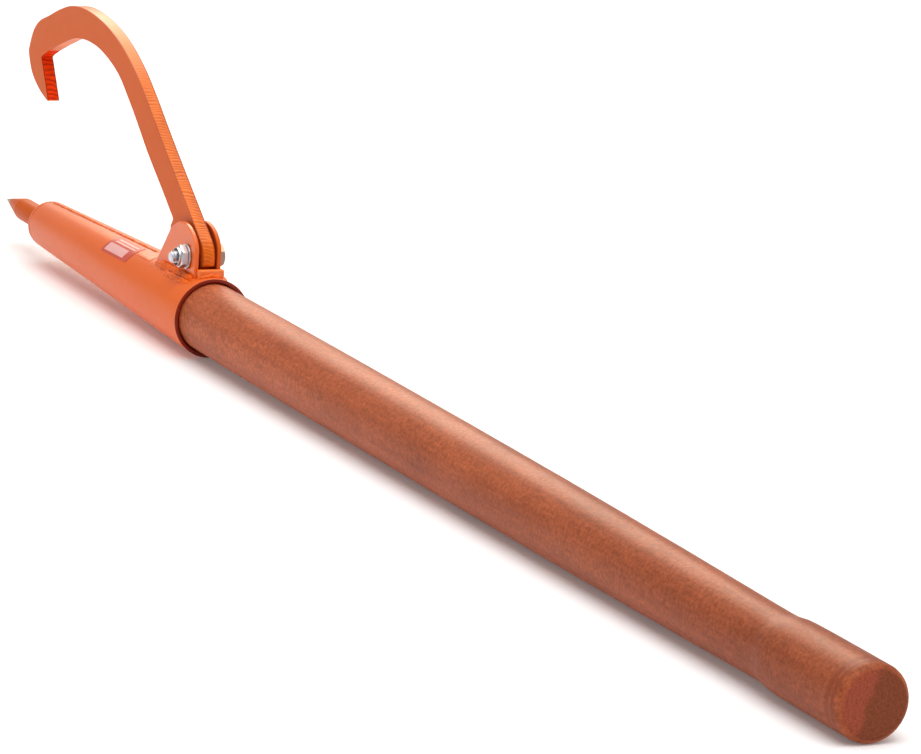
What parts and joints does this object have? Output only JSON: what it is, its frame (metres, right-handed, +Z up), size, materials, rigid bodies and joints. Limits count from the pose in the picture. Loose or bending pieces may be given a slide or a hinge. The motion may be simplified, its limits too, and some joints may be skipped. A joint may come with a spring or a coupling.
{
  "type": "peavey",
  "caption": "Log-handling lever: a long turned wooden handle in a tapered steel socket with a round spike and a hinged flat hook.",
  "frame": {"origin": "centre of the flat end face of the handle's grip", "axes": "+X along the handle and out of its grip end, so the spike is at low x; +Z up, to the side that carries the hook; +Y to the bolt head's side"},
  "size_m": [1.216, 0.0525, 0.1848],
  "materials": {
    "handle_wood": "satin reddish-brown stain",
    "orange_paint": "semi-gloss orange powder coat",
    "spike_paint": "semi-gloss orange powder coat, worn to bare steel at the point",
    "hook_paint": "semi-gloss orange powder coat over flame-cut edges",
    "weld_paint": "orange powder coat over uneven weld beads",
    "zinc_steel": "bright zinc plating",
    "nut_nylon": "dark nylon ring",
    "blank_label": "blank stuck-on film",
    "clear_label": "clear stuck-on film over orange paint"
  },
  "bodies": {
    "root": {"handle": "handle_wood", "socket_shell": "orange_paint", "socket_end_cap": "orange_paint", "spike": "spike_paint", "spike_weld": "weld_paint", "seam_weld": "weld_paint", "clevis_ear_near": "orange_paint", "clevis_ear_far": "orange_paint", "clevis_cross_bar": "orange_paint", "ear_weld_near": "weld_paint", "ear_weld_far": "weld_paint", "cross_bar_weld": "weld_paint", "pivot_bolt": "zinc_steel", "lock_nut": "zinc_steel", "nut_insert": "nut_nylon", "nut_washer": "zinc_steel", "handle_screw": "zinc_steel", "label_film": "blank_label", "clear_film": "clear_label"},
    "hook": {"hook": "hook_paint"}
  },
  "joints": [
    {"name": "hook_swing", "type": "hinge", "parent": "root", "child": "hook", "pos_m": [-0.856, 0, 0.03525], "axis": [0, 1, 0], "range_deg": [-15.5, 26]}
  ]
}
